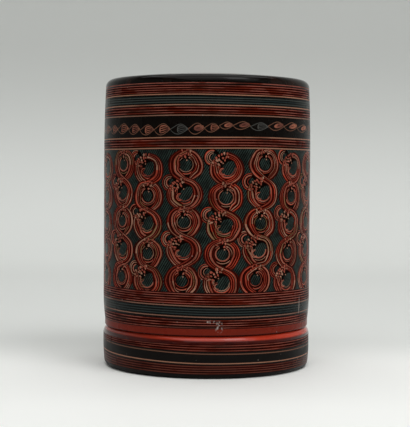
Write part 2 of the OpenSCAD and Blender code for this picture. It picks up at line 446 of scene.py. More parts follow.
def lathe(name, rows, body):
    """Turns a half section round the axis. A row is (radius, height, material down to the next row, share of
    the map), and a section that doesn't start and end on the axis is closed on itself."""
    on_axis = rows[0][0] == 0
    if not on_axis:
        rows = rows + [rows[0]]
    steps = [hypot(b[0] - a[0], b[1] - a[1]) * a[3] + MAP_STEP for a, b in zip(rows, rows[1:])]
    total = sum(steps)
    heights = [1 - sum(steps[:k]) / total for k in range(len(rows))]
    angles = [2 * pi * i / SEGMENTS - pi for i in range(SEGMENTS)]
    vertices, index = [], []
    for radius, z, _, share in rows if on_axis else rows[:-1]:
        if radius == 0:
            index.append([len(vertices)] * SEGMENTS)
            vertices.append((0.0, 0.0, z * MM))
        else:
            index.append(list(range(len(vertices), len(vertices) + SEGMENTS)))
            wavers = share == OUTSIDE
            vertices += [on_wall(radius, a, z + hand_rise(z, a) if wavers else z) for a in angles]
    if not on_axis:
        index.append(index[0])
    faces, slots, maps = [], [], []
    for k, row in enumerate(rows[:-1]):
        for i in range(SEGMENTS):
            j = (i + 1) % SEGMENTS
            corners = [(index[k][i], i, k), (index[k + 1][i], i, k + 1),
                       (index[k + 1][j], i + 1, k + 1), (index[k][j], i + 1, k)]
            kept = [c for n, c in enumerate(corners) if c[0] not in [d[0] for d in corners[:n]]]
            faces.append([c[0] for c in kept])
            slots.append(row[2])
            maps += [(c[1] / SEGMENTS, heights[c[2]]) for c in kept]
    return finish_mesh(name, vertices, faces, slots, maps, body)


def band_rows(top, bottom, lines, ground, radius, longest):
    """Rows down a turned wall, none higher than the longest. A line is (height, width, material), and ground
    gives the colour between lines."""
    edges = {top, bottom}
    for z, width, _ in lines:
        edges |= {z + width / 2, z - width / 2}
    for high, low, _ in ground:
        edges |= {high, low}
    edges = sorted((z for z in edges if bottom <= z <= top), reverse=True)
    rows = []
    for high, low in zip(edges, edges[1:]):
        mid = (high + low) / 2
        found = [key for z, width, key in lines if abs(mid - z) < width / 2]
        found += [key for a, b, key in ground if b < mid < a]
        parts = max(1, ceil((high - low) / longest))
        for k in range(parts):
            z = high + (low - high) * k / parts
            rows.append((radius(z), z, found[0], OUTSIDE))
    rows.append((radius(bottom), bottom, rows[-1][2], OUTSIDE))
    return rows


def hidden(material, *places):
    """Rows of a face that is out of sight while the box is closed, from its (radius, height) places."""
    return [(r, z, material, INSIDE) for r, z in places]


def arc(cx, cz, r, start, end, steps):
    angles = [radians(start + (end - start) * k / steps) for k in range(steps + 1)]
    return [(cx + r * cos(a), cz + r * sin(a)) for a in angles]


# Lines round the cover and the collar

RED_W = 0.35
OTHER_W = 0.5


def reds(key, *heights):
    return [(z, RED_W, key) for z in heights]


def others(key, *heights):
    return [(z, OTHER_W, key) for z in heights]


UPPER_LINES = (reds("red", 145.4, 144.2, 143.1, 141.9, 134.4, 133.0, 131.8, 118.5, 117.1, 115.8)
               + others("ochre", 140.9, 135.7, 119.8, 114.5) + others("low_ochre", 130.6)
               + others("green", 139.3, 138.2, 137.0))
LOWER_LINES = (reds("red", 42.4, 41.2, 40.0, 38.8, 37.6, 29.3, 28.0, 26.8, 25.6)
               + others("low_ochre", 36.4, 31.0) + others("low_green", 34.9, 33.6, 32.4))
COLLAR_LINES = (reds("low_red", 16.8, 15.6, 14.3) + reds("foot_red", 6.4, 5.2, 4.1, 2.9)
                + others("brown", 12.7) + others("ochre", 7.9))

# Grounds between the lines: top, bottom and material, and the first that fits is taken
COVER_GROUND = [
    (145.7, 141.2, "wine"), (140.6, 136.0, "dark_green"), (134.9, 131.2, "wine"), (119.2, 115.1, "wine"),
    (43.0, 37.0, "wine"), (36.1, 31.3, "dark_green"), (29.8, 25.2, "wine"), (WALL_TOP, WALL_BOTTOM, "black"),
]
COLLAR_GROUND = [
    # The band at the top is painted shade in the seam under the cover's lower edge
    (COLLAR_H, SEAM_SHADE_EDGE, "seam"), (SEAM_SHADE_EDGE, SHOULDER_EDGE, "shoulder"), (SHOULDER_EDGE, 13.8, "wine"),
    (6.9, 2.5, "foot_wine"), (SHOULDER_EDGE, 0.0, "foot"),
]

WALL_ROW = 3.0
COLLAR_ROW = 0.4
RECESS_ROWS = 8


def recess(zone):
    """The step down to the bed of an inlaid zone, and the bed."""
    top, bottom = zone
    rows = [(wall_radius(top), top, "black", OUTSIDE)]
    for k in range(RECESS_ROWS + 1):
        z = top + (bottom - top) * k / RECESS_ROWS
        rows.append((wall_radius(z) - INLAY_T, z, "black", OUTSIDE))
    return rows


def make_cover_wall():
    def bands(top, bottom, lines):
        return band_rows(top, bottom, lines, COVER_GROUND, wall_radius, WALL_ROW)

    rows = bands(WALL_TOP, EYE_ZONE[0], UPPER_LINES)[:-1] + recess(EYE_ZONE)
    rows += bands(EYE_ZONE[1], PANEL_ZONE[0], UPPER_LINES)[:-1] + recess(PANEL_ZONE)
    rows += bands(PANEL_ZONE[1], WALL_BOTTOM, LOWER_LINES)
    rows[-1] = (*rows[-1][:2], "mouth", INSIDE)
    middle = (WALL_BOTTOM + WALL_TOP) / 2
    rows += hidden("orange", (COVER_BORE_R, WALL_BOTTOM), (COVER_BORE_R, middle))
    rows += hidden("black", (COVER_BORE_R, WALL_TOP))
    piece = lathe("cover_wall_bands", rows, "cover")
    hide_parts("cover_wall")


# Rings on the crown, by radius, and the red line round its side, top and bottom
CROWN_LINES = [(r, 0.7, "red") for r in (44.0, 42.6, 41.2, 39.8, 13.0, 11.6)]
CROWN_LINES += [(r, 0.6, "ochre") for r in (38.4, 10.2)]
CROWN_SIDE_LINE = (146.85, 146.4)

# Radii at which the dome has points, besides its lines, above and below
DOME_RADII = (0.0, 5.0, 20.0, 25.0, 30.0, 34.0, 47.0, 49.0)
UNDER_RADII = (40.0, 30.0, 20.0, 10.0, 0.0)
CROWN_ROUND_STEPS = 14


def make_crown():
    dome_r = (CROWN_R ** 2 + DOME_RISE ** 2) / (2 * DOME_RISE)
    dome_z = BOX_TOP - dome_r
    edge_x = CROWN_R - CROWN_ROUND
    edge_z = dome_z + sqrt((dome_r - CROWN_ROUND) ** 2 - edge_x ** 2)
    tilt = degrees(asin(edge_x / (dome_r - CROWN_ROUND)))
    rounded = arc(edge_x, edge_z, CROWN_ROUND, 90 - tilt, 0, CROWN_ROUND_STEPS)

    def dome(r, sphere_r):
        return dome_z + sqrt(sphere_r ** 2 - r ** 2)

    radii = {*DOME_RADII, rounded[0][0]} | {r + s * w / 2 for r, w, _ in CROWN_LINES for s in (-1, 1)}
    radii = sorted(radii)
    rows = []
    for a, b in zip(radii, radii[1:]):
        found = [key for r, w, key in CROWN_LINES if abs((a + b) / 2 - r) < w / 2]
        rows.append((a, dome(a, dome_r), found[0] if found else "crown", TRUE_OUTSIDE))
    rows += [(r, z, "crown", TRUE_OUTSIDE) for r, z in rounded]
    rows += [(CROWN_R, z, key, TRUE_OUTSIDE) for z, key in zip(CROWN_SIDE_LINE, ("red", "crown"))]
    rim_r = COVER_BORE_R - BOND
    inner_r = rim_r - SPIGOT_W
    rows += hidden("black", (CROWN_R, WALL_TOP), (rim_r, WALL_TOP))
    rows += hidden("orange", (rim_r, SPIGOT_BOTTOM), (inner_r, SPIGOT_BOTTOM))
    rows += hidden("orange", *((r, dome(r, dome_r - CROWN_T)) for r in (inner_r, *UNDER_RADII)))
    piece = lathe("cover_crown_lacquer", rows, "cover")
    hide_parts("cover_crown")


def make_collar():
    shoulder_z = COLLAR_H + SEAT_CUT - SHOULDER_R
    arc_r = (FOOT_TAPER_H ** 2 + FOOT_DRAW ** 2) / (2 * FOOT_DRAW)
    arc_x = OUTER_R - arc_r
    foot_x = arc_x + sqrt((arc_r - FOOT_ROUND) ** 2 - (FOOT_TAPER_H - FOOT_ROUND) ** 2)

    def radius(z):
        if z > shoulder_z:
            return OUTER_R - SHOULDER_R + sqrt(SHOULDER_R ** 2 - (z - shoulder_z) ** 2)
        drawn = arc_x + sqrt(arc_r ** 2 - max(0.0, FOOT_TAPER_H - z) ** 2)
        rounded = foot_x + sqrt(FOOT_ROUND ** 2 - max(0.0, FOOT_ROUND - z) ** 2)
        return drawn if z > FOOT_ROUND else min(drawn, rounded)

    seat_r = DRUM_R + BOND
    foot_r = DRUM_R - FOOT_W
    rows = band_rows(COLLAR_H, 0.0, COLLAR_LINES, COLLAR_GROUND, radius, COLLAR_ROW)
    rows[-1] = (*rows[-1][:2], "black", INSIDE)
    rows += hidden("black", (foot_r, 0.0), (foot_r, FOOT_H), (seat_r, FOOT_H))
    rows += hidden("orange", (seat_r, COLLAR_H))
    piece = lathe("base_collar_bands", rows, "base")
    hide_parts("base_collar")


# Inlaid patterns, drawn as flat shapes on the unrolled wall and then wrapped round it

class Drawing:
    """Shapes on the unrolled wall, in millimetres: x is the arc from the front, and y the height. A higher
    layer covers a lower one."""

    def __init__(self):
        self.shapes = []

    def add(self, points, key, layer):
        twice_area = sum(a[0] * b[1] - b[0] * a[1] for a, b in zip(points, points[1:] + points[:1]))
        self.shapes.append((points if twice_area > 0 else points[::-1], key, layer))

    def wrap(self):
        """Repeats the shapes beyond the back seam one turn earlier, where that seam's other side starts."""
        turn = 2 * pi * OUTER_R
        beyond = [s for s in self.shapes if max(p[0] for p in s[0]) > turn / 2]
        self.shapes += [([(x - turn, y) for x, y in points], key, layer) for points, key, layer in beyond]

    def within(self, x0, x1):
        return [s for s in self.shapes if max(p[0] for p in s[0]) > x0 and min(p[0] for p in s[0]) < x1]


def turned(points, x, y, angle):
    """Points turned about the origin and then moved to (x, y)."""
    c, s = cos(radians(angle)), sin(radians(angle))
    return [(x + px * c - py * s, y + px * s + py * c) for px, py in points]


def ellipse(cx, cy, rx, ry, tilt=0.0, steps=28):
    angles = [2 * pi * k / steps for k in range(steps)]
    return turned([(rx * cos(a), ry * sin(a)) for a in angles], cx, cy, tilt)


# A petal's side from its point to its round end: share of its length, and half width as a share of its width
PETAL_SIDE = [(0.0, 0.0), (0.2, 0.26), (0.45, 0.46), (0.7, 0.5), (0.9, 0.32), (1.0, 0.0)]


def teardrop(x, y, angle, length, width):
    outline = PETAL_SIDE + [(t, -w) for t, w in PETAL_SIDE[-2:0:-1]]
    return turned([(t * length, w * width) for t, w in outline], x, y, angle)


SQUASH = 0.93
RING_R = 8.5
SPLINE_STEPS = 4


def polar(centre, r, angle, squash=SQUASH):
    """A point round a centre, on a circle that is a little squashed."""
    a = radians(angle)
    return (centre[0] + r * cos(a), centre[1] + squash * r * sin(a))


def spline_between(a, b, c, d, t):
    """A value on the smooth curve between b and c, with a before and d after them."""
    return b + t * ((c - a) / 2 + t * (a - 2.5 * b + 2 * c - d / 2 + t * (1.5 * b - a / 2 - 1.5 * c + d / 2)))


def spline(points):
    """A smooth curve through all the points."""
    ends = [points[0]] + points + [points[-1]]
    curve = []
    for around in zip(ends, ends[1:], ends[2:], ends[3:]):
        for k in range(SPLINE_STEPS):
            curve.append(tuple(spline_between(*values, k / SPLINE_STEPS) for values in zip(*around)))
    return curve + [points[-1]]


# Strands of lines

STROKE_TONES = (("stroke", 0.3), ("vivid", 0.18), ("tan", 0.28), ("deep", 0.12), ("olive", 0.12))
TONE_CHANGE = 0.4

# Widths across a strand, before it is fitted to its place
BOLD_W = (0.6, 0.9)
PALE_EDGE_W = (0.26, 0.38)
CUT_W = 0.5
FINE_W = (0.42, 0.6)
GAP_W = (0.65, 1.1)

# How a line swells, steps between two swells, steps in a stretch of one tone, and the bed's rim
SWELLS = (1.2, 1.1, 1.0, 0.9, 0.7, 0.4)
SWELL_STEPS = 6
TONE_STEPS = 12
BED_RIM = 0.2


def stray(rng, reach):
    return rng.uniform(-reach, reach)


def stroke_tone(rng):
    return rng.choices([key for key, _ in STROKE_TONES], [share for _, share in STROKE_TONES])[0]


def line_plan(rng, count):
    """Lines side by side across a strand, as (start, end, material): a bold one between a pale edge and a
    dark cut, and fine ones."""
    lines, place = [], 0.0
    bold = rng.randrange(count)
    for number in range(count):
        if number == bold:
            middle = (rng.uniform(*BOLD_W), "vivid" if bold == 0 else "stroke")
            pale_last = rng.randrange(2)
            pale = (rng.uniform(*PALE_EDGE_W), "tan")
            cut = (CUT_W, "cut")
            widths = [cut, middle, pale] if pale_last else [pale, middle, cut]
        else:
            widths = [(rng.uniform(*FINE_W), stroke_tone(rng))]
        for width, tone in widths:
            lines.append((place, place + width, tone))
            place += width
        place += rng.uniform(*GAP_W)
    total = lines[-1][1]
    return [(start / total, end / total, key) for start, end, key in lines]


def strand(draw, rng, layer, stations, plan):
    """Lines that run side by side along a path, and swell and thin on their way. A station is the strand's
    left and right edge at one place."""
    left, right = (spline([station[side] for station in stations]) for side in (0, 1))
    last = len(left) - 1

    def across(place, share):
        a, b = left[place], right[place]
        return (a[0] + (b[0] - a[0]) * share, a[1] + (b[1] - a[1]) * share)

    whole = range(last + 1)
    bed = [across(i, -BED_RIM) for i in whole] + [across(i, 1 + BED_RIM) for i in reversed(whole)]
    draw.add(bed, "gap", layer)
    for start, end, key in plan:
        swells = [rng.choice(SWELLS) for _ in range(last // SWELL_STEPS + 2)]
        half = [(end - start) / 2 * (a + (b - a) * k / SWELL_STEPS)
                for a, b in zip(swells, swells[1:]) for k in range(SWELL_STEPS)]
        mid = (start + end) / 2
        for first in range(0, last, TONE_STEPS):
            part = range(first, min(first + TONE_STEPS, last) + 1)
            tone = stroke_tone(rng) if rng.random() < TONE_CHANGE and key != "cut" else key
            near = [across(i, mid - half[i]) for i in part]
            draw.add(near + [across(i, mid + half[i]) for i in reversed(part)], tone, layer + 1)


# A strand's width as it passes a circle, at angles from the circle's top
LEFT_WIDTHS = ((34, 2.8), (62, 3.6), (92, 4.0), (122, 3.8), (150, 3.0))
RIGHT_WIDTHS = ((34, 2.7), (62, 3.3), (92, 3.7), (122, 3.5), (150, 2.8))
HOOK_WIDTHS = ((46, 0.3), (62, 2.2), (86, 3.4), (114, 3.6), (148, 3.0))
NEAR_WIDTHS = ((36, 2.7), (62, 3.1), (90, 3.4), (118, 3.4), (144, 3.0), (166, 1.8))
WIDTH_VARIES = (0.9, 1.1)
REACH_VARIES = 0.28
LEFT, RIGHT = -1, 1
WAIST_HALF = 1.25
WAIST_LEAN = (0.57, 0.82)


def pass_by(rng, centre, r, side, widths):
    """Stations of a strand on its way down one side of a circle."""
    stations = []
    swell = rng.uniform(*WIDTH_VARIES)
    for turn, width in widths:
        angle = 90 - side * turn
        reach = r + stray(rng, REACH_VARIES)
        outer = polar(centre, reach, angle)
        inner = polar(centre, reach - width * swell * rng.uniform(*WIDTH_VARIES), angle)
        stations.append((outer, inner) if side == LEFT else (inner, outer))
    return stations


def waist(centre, side):
    """The station where a strand that comes from one side crosses to the other, between two circles."""
    dx, dy = -WAIST_HALF * WAIST_LEAN[0], side * WAIST_HALF * WAIST_LEAN[1]
    return [((centre[0] + dx, centre[1] + dy), (centre[0] - dx, centre[1] - dy))]


# Fillings of the circles

# Layers of the panel, from the lowest up
CURL_LAYER = 10
MIDDLE_LAYER = 20
UNDER_LAYER = 30
HOOK_LAYER = 36
MAIN_LAYER = 40
PETAL_LAYER = 50

PETAL_SHIFT = 0.25
PETAL_TURN = 35
PETAL_LENGTH = (1.2, 1.9)
PETAL_WIDTH = (0.75, 1.05)
PETAL_RIM = (0.3, 0.45)
PALE_PETALS = 0.25
DOT_R = 0.34
DOT_SHIFT = 0.9
DOT_DROP = 0.8

CRESCENT_TAPER = 0.4
CRESCENT_STEP_DEG = 9
CRESCENT_STEPS = 8


def petals(draw, rng, root, spots):
    """Small petals that fan out from a root, with pale dots between them."""
    for number, (x, y) in enumerate(spots):
        x, y = x + stray(rng, PETAL_SHIFT), y + stray(rng, PETAL_SHIFT)
        turn = degrees(atan2(y - root[1], x - root[0])) + stray(rng, PETAL_TURN)
        length, width = rng.uniform(*PETAL_LENGTH), rng.uniform(*PETAL_WIDTH)
        tone = "tan" if rng.random() < PALE_PETALS else "stroke"
        draw.add(teardrop(x, y, turn, length + PETAL_RIM[0], width + PETAL_RIM[1]), "cut", PETAL_LAYER)
        draw.add(teardrop(x, y, turn, length, width), tone, PETAL_LAYER + 1)
        if number % 3 == 0:
            dot_x = x + stray(rng, DOT_SHIFT)
            draw.add(ellipse(dot_x, y - DOT_DROP, DOT_R, DOT_R, steps=8), "tan", PETAL_LAYER + 2)


def crescent(draw, rng, layer, centre, r_out, thick, count, start, end, squash=SQUASH):
    """Nested lines that sweep from one angle to another round a centre, thinner towards both ends."""
    steps = max(CRESCENT_STEPS, int(abs(end - start) / CRESCENT_STEP_DEG))
    for first, last, key in line_plan(rng, count):
        outer, inner = [], []
        for k in range(steps + 1):
            angle = start + (end - start) * k / steps
            room = thick * (1 - CRESCENT_TAPER * abs(2 * k / steps - 1) ** 3)
            for share, side in ((first, outer), (last, inner)):
                side.append(polar(centre, r_out - room * share, angle, squash))
        draw.add(outer + inner[::-1], key, layer)


# A small curl: its place from the circle at its right, half sizes of its bed and its hatched middle, that
# middle's place in it, and its lines as a crescent takes them
CURL_PLACE = (-7.8, 5.8)
CURL_BED = (4.2, 4.4)
CURL_HOLE = (1.5, 2.0)
CURL_HOLE_PLACE = (1.2, 0.0)
CURL_LINES = (3.8, 2.9, 3, 66, 300, 1.08)


def beside(point, shift):
    return (point[0] + shift[0], point[1] + shift[1])


def side_curl(draw, rng, c):
    """A small curl that fills the gap between two columns, open to the right."""
    middle = beside(c, CURL_PLACE)
    draw.add(ellipse(*middle, *CURL_BED, steps=20), "cut", CURL_LAYER)
    draw.add(ellipse(*beside(middle, CURL_HOLE_PLACE), *CURL_HOLE, steps=14), "hatch", CURL_LAYER + 1)
    crescent(draw, rng, CURL_LAYER + 2, middle, *CURL_LINES)


# The place, half sizes and tilt of an open ring's hatched middle, and its lining and its curl as crescents
HOOK_HOLE_PLACE = (0.8, -0.2)
HOOK_HOLE = (4.7, 3.2, 52)
HOOK_LINING = (5.2, 1.9, 2, 148, 372)
HOOK_CURL_PLACE = (-2.4, -1.3)
HOOK_CURL = (1.9, 1.2, 2, 70, 320, 1.1)

# Radius and angle of the petals' roots, of the petals in a near-closed ring and of their rows in an open one
RING_ROOT = (2.0, 90)
HOOK_ROOT = (1.5, 125)
RING_PETALS = ((7.0, 70), (7.1, 86), (6.9, 103), (5.2, 72), (5.3, 93), (5.1, 112), (3.4, 84))
HOOK_PETALS = ((7.3, (90, 101, 112, 123, 134, 146, 158)), (5.7, (98, 112, 126, 140, 155)),
               (4.2, (108, 128, 150)))

# Radius of a near-closed ring's hatched middle and of its lining, their gap, and the lining's lines
# and angles
RING_HOLE = (2.6, 3.1)
RING_LINING_R = 5.0
RING_LINING_GAP = 0.4
RING_LINING = (2, 112, 428)


def ring_middle(draw, rng, c):
    """The hatched middle of a near-closed ring, with petals that hang into it from above."""
    hole = rng.uniform(*RING_HOLE)
    draw.add(ellipse(*c, hole, hole, steps=24), "hatch", MIDDLE_LAYER + 1)
    lining = RING_LINING_R - hole - RING_LINING_GAP
    crescent(draw, rng, MIDDLE_LAYER + 2, c, RING_LINING_R, lining, *RING_LINING)
    petals(draw, rng, polar(c, *RING_ROOT), [polar(c, r, a) for r, a in RING_PETALS])


def hook_middle(draw, rng, c):
    """The slanted middle of an open ring, with a curl at its left and petals along its upper left."""
    draw.add(ellipse(*beside(c, HOOK_HOLE_PLACE), *HOOK_HOLE, 24), "hatch", MIDDLE_LAYER + 1)
    crescent(draw, rng, MIDDLE_LAYER + 2, c, *HOOK_LINING)
    crescent(draw, rng, HOOK_LAYER, beside(c, HOOK_CURL_PLACE), *HOOK_CURL)
    petals(draw, rng, polar(c, *HOOK_ROOT), [polar(c, r, a) for r, angles in HOOK_PETALS for a in angles])


# The panel: columns of circles

# Angle of each column on the front, at its first circle and at its last
FRONT_COLUMNS = ((-50.9, -52.3), (-32.8, -32.8), (-11.1, -12.8), (10.3, 7.7), (31.7, 26.6), (52.4, 47.3))
COLUMNS = 18
CIRCLES = 5
LINES_IN_STRAND = 3
PANEL_SEED = 1000

# Height of a column's first circle and the pitch, by the kind of circle that it starts with
RING_FIRST = (106.3, 14.3)
HOOK_FIRST = (104.3, 14.1)

# How far a circle strays from its place, across and up, and how its size varies
STRAY_X, STRAY_Y = 0.4, 0.5
CIRCLE_VARIES = (0.96, 1.03)


def column_angles(end):
    """Angles of all columns at one end: as measured on the front, evenly spaced on the rest."""
    front = [pair[end] for pair in FRONT_COLUMNS]
    unseen = COLUMNS - len(front)
    spread = (360 + front[0] - front[-1]) / (unseen + 1)
    return front + [front[-1] + spread * k for k in range(1, unseen + 1)]


def draw_column(draw, rng, centres, pitch, ring_first):
    """Circles in a row, held together by a broad strand that winds down past them on alternate sides.
    Shorter strands close the other sides, under it."""
    sides = [LEFT if (k % 2 == 0) == ring_first else RIGHT for k in range(CIRCLES)]
    radii = [RING_R * rng.uniform(*CIRCLE_VARIES) for _ in centres]
    first, last = centres[0], centres[-1]
    middles = [(first[0], first[1] + pitch / 2)]
    middles += [((a[0] + b[0]) / 2, (a[1] + b[1]) / 2) for a, b in zip(centres, centres[1:])]
    middles += [(last[0], last[1] - pitch / 2)]

    main = waist(middles[0], -sides[0])
    under = [waist(middles[0], LEFT)]
    for c, r, side, below in zip(centres, radii, sides, middles[1:]):
        widths = LEFT_WIDTHS if side == LEFT else RIGHT_WIDTHS
        main += pass_by(rng, c, r, side, widths) + waist(below, side)
        draw.add(ellipse(*c, RING_R, SQUASH * RING_R), "cut", MIDDLE_LAYER)
        if side == LEFT:
            under[-1] += pass_by(rng, c, r, RIGHT, NEAR_WIDTHS)
            ring_middle(draw, rng, c)
        else:
            under.append(pass_by(rng, c, r, LEFT, HOOK_WIDTHS) + waist(below, LEFT))
            hook_middle(draw, rng, c)
            side_curl(draw, rng, c)
    for stations in under:
        if len(stations) > 1:
            strand(draw, rng, UNDER_LAYER, stations, line_plan(rng, LINES_IN_STRAND))
    strand(draw, rng, MAIN_LAYER, main, line_plan(rng, LINES_IN_STRAND))


def draw_panel():
    draw = Drawing()
    for number, (first, last) in enumerate(zip(column_angles(0), column_angles(1))):
        rng = random.Random(PANEL_SEED + number)
        ring_first = number % 2 == 0
        top, pitch = RING_FIRST if ring_first else HOOK_FIRST
        centres = []
        for k in range(CIRCLES):
            x = OUTER_R * radians(first + (last - first) * k / (CIRCLES - 1))
            x += stray(rng, STRAY_X)
            centres.append((x, top - pitch * k + stray(rng, STRAY_Y)))
        draw_column(draw, rng, centres, pitch, ring_first)
    draw.wrap()
    return draw


# The band of eyes

# Angles where the lines cross on the front
EYE_EDGES = (-56.4, -46.4, -38.1, -28.9, -19.6, -10.0, -1.6, 6.1, 13.2, 22.7, 33.5, 44.6, 56.8, 69.5)
# Height of each eye on the front, and half its opening
FRONT_EYES = ((124.7, 2.4), (124.2, 2.45), (123.7, 2.4), (123.8, 2.7), (123.8, 2.4), (124.0, 2.7),
              (124.5, 2.15), (125.6, 1.75), (125.7, 1.95), (125.3, 1.95), (125.8, 2.15), (125.9, 2.15),
              (125.4, 1.95))
GREY_EYES = (4, 9)
ALMOND_EYES = (5, 7, 8, 10, 11, 12)
OTHER_EYES = 24
EYE_SEED = 7

# Mean height and half opening of the other eyes, and how crossings, heights, openings and leaves vary
EYES_Z = 124.8
EYE_RISE = 2.3
CROSSING_VARIES = 0.15
EYE_Z_VARIES = 0.6
EYE_RISE_VARIES = (0.88, 1.1)
LEAF_START = (0.4, 0.52)

FILLING_LAYER = 51
HAIR_LAYER = 52
EYE_LINE_LAYER = 53
EYE_LINE_HALF = 0.18
EYE_LINE_STEPS = 14

# A leaf: its right end as a share of the eye, its steps, its lower and upper edge, hairs and round left end
LEAF_END = 0.97
LEAF_STEPS = 7
LEAF_EDGES = (-0.7, 0.74)
LEAF_HAIRS = (-0.42, 0.0, 0.4)
HAIR_HALF = 0.13
LEAF_ROUND = 0.07
LEAF_ROUND_TURN = 1.4
LEAF_ROUND_PLACES = (0.5, 0.0, -0.5)

# Powers that move the widest place of an eye's upper and lower line to the right and to the left
UPPER_LEAN = 1.25
LOWER_LEAN = 0.8

# An almond and its slit: place across and up, half width and half height as shares of the eye, and tilt. The
# slit's place is from the almond's, and its heights are in millimetres.
ALMOND = (0.66, 0.15, 0.31, 0.56, 10)
SLIT = (-0.05, -0.05, 0.13, 0.16, 14)


def draw_eyes():
    """Two wavy lines that cross and make a chain of eyes, with a filling in the right half of each."""
    draw = Drawing()
    rng = random.Random(EYE_SEED)
    unseen = 360 + EYE_EDGES[0] - EYE_EDGES[-1]
    edges = list(EYE_EDGES)
    for k in range(1, OTHER_EYES):
        place = k + stray(rng, CROSSING_VARIES)
        edges.append(EYE_EDGES[-1] + unseen * place / OTHER_EYES)
    edges.append(EYE_EDGES[0] + 360)
    for number, (left, right) in enumerate(zip(edges, edges[1:])):
        other = number > len(EYE_EDGES)
        grey = number in GREY_EYES or (other and number % 6 == 2)
        almond = number in ALMOND_EYES or (other and number % 3 == 1)
        yc = EYES_Z + stray(rng, EYE_Z_VARIES)
        rise = EYE_RISE * rng.uniform(*EYE_RISE_VARIES)
        if number < len(FRONT_EYES):
            yc, rise = FRONT_EYES[number]
        start = rng.uniform(*LEAF_START)
        x = OUTER_R * radians(left)
        length = OUTER_R * radians(right - left)
        tone, line = ("grey", "grey") if grey else ("leaf", "brown")
        draw_eye(draw, x, yc, length, rise, start, tone, line, almond)
    draw.wrap()
    return draw


def draw_eye(draw, x, yc, length, rise, start, tone, line, almond):
    """Two lines that bow apart between their crossings, and a filling in the right half: a leaf with hairs,
    or an almond that leans up to the right."""
    def edge(t, side):
        return side * rise * sin(pi * t ** (UPPER_LEAN if side > 0 else LOWER_LEAN))

    def inside(t, v):
        return (x + t * length, yc + (edge(t, 1) * (1 + v) + edge(t, -1) * (1 - v)) / 2)

    if almond:
        across, up, half_w, half_h, tilt = ALMOND
        middle = (x + across * length, yc + up * rise)
        draw.add(ellipse(*middle, half_w * length, half_h * rise, tilt, 16), tone, FILLING_LAYER)
        across, up, half_w, half_h, tilt = SLIT
        slit = beside(middle, (across * length, up))
        draw.add(ellipse(*slit, half_w * length, half_h, tilt, 10), "black", HAIR_LAYER)
    else:
        steps = [start + (LEAF_END - start) * k / LEAF_STEPS for k in range(LEAF_STEPS + 1)]
        low, high = LEAF_EDGES
        outline = [inside(t, low) for t in steps] + [inside(t, high) for t in steps[::-1]]
        outline += [inside(start - LEAF_ROUND * cos(v * LEAF_ROUND_TURN), v) for v in LEAF_ROUND_PLACES]
        draw.add(outline, tone, FILLING_LAYER)
        for v in LEAF_HAIRS:
            hair = [inside(t, v - HAIR_HALF) for t in steps[:-1]]
            draw.add(hair + [inside(t, v + HAIR_HALF) for t in steps[-2::-1]], "black", HAIR_LAYER)
    path = [k / EYE_LINE_STEPS for k in range(EYE_LINE_STEPS + 1)]
    for side in (-1, 1):
        outline = [(x + t * length, yc + edge(t, side) + EYE_LINE_HALF) for t in path]
        outline += [(x + t * length, yc + edge(t, side) - EYE_LINE_HALF) for t in path[::-1]]
        draw.add(outline, line, EYE_LINE_LAYER)


# Tiles that carry the drawings

# Options of the triangulation: only what lies inside a shape is kept, and points this near are one
INSIDE_SHAPES = 1
WELD = 1e-4
NEAR = 1e-3
SLOPE_REACH = 0.5

# A tile's map: start and length of its front, across and up, top and bottom of the strip of its edges, and
# start and length of its back, up
FRONT_MAP = (0.01, 0.98, 0.07, 0.92)
EDGE_MAP = (0.06, 0.045)
BACK_MAP = (0.002, 0.035)


def cut_face(drawing, zone, x0, x1, ground, strips):
    """Cuts a tile's flat face into triangles along the drawing's outlines. Gives its points, its triangles
    and their materials, each that of the highest shape there."""
    top, bottom = zone
    shapes = [([(x0, bottom), (x1, bottom), (x1, top), (x0, top)], ground, -1)] + drawing.within(x0, x1)
    points, edges, polygons = [], [], []
    for outline, _, _ in shapes:
        polygons.append(list(range(len(points), len(points) + len(outline))))
        points += [Vector(p) for p in outline]
    for k in range(1, strips):
        x = x0 + (x1 - x0) * k / strips
        edges.append((len(points), len(points) + 1))
        points += [Vector((x, bottom)), Vector((x, top))]
    flat, _, triangles, _, _, sources = delaunay_2d_cdt(points, edges, polygons, INSIDE_SHAPES, WELD, True)
    faces, slots = [], []
    for corners, source in zip(triangles, sources):
        if 0 in source:
            highest = max(source, key=lambda s: (shapes[s][2], s))
            faces.append(list(corners))
            slots.append(shapes[highest][1])
    used = sorted({v for face in faces for v in face})
    renumber = {v: i for i, v in enumerate(used)}
    return [flat[v] for v in used], [[renumber[v] for v in face] for face in faces], slots


def rim_runs(flat, zone, x0, x1):
    """The points along each side of a tile, in order round it from the top left."""
    top, bottom = zone
    places = range(len(flat))

    def along(side, level, order, sign):
        found = [i for i in places if abs(flat[i][side] - level) < NEAR]
        return sorted(found, key=lambda i: sign * flat[i][order])

    return {"top": along(1, top, 0, 1), "right": along(0, x1, 1, -1),
            "bottom": along(1, bottom, 0, -1), "left": along(0, x0, 1, 1)}


def wall_normals(piece, flat, outer_faces):
    """Makes a tile's outer faces as smooth as the wall, and leaves its other faces flat."""
    normals = []
    for face in piece.data.polygons:
        for v in face.vertices:
            if face.index < outer_faces:
                x, z = flat[v]
                a = x / OUTER_R
                slope = wall_radius(z + SLOPE_REACH) - wall_radius(z - SLOPE_REACH)
                normals.append(Vector((sin(a), -cos(a), -slope)).normalized())
            else:
                normals.append(face.normal.copy())
    piece.data.normals_split_custom_set(normals)


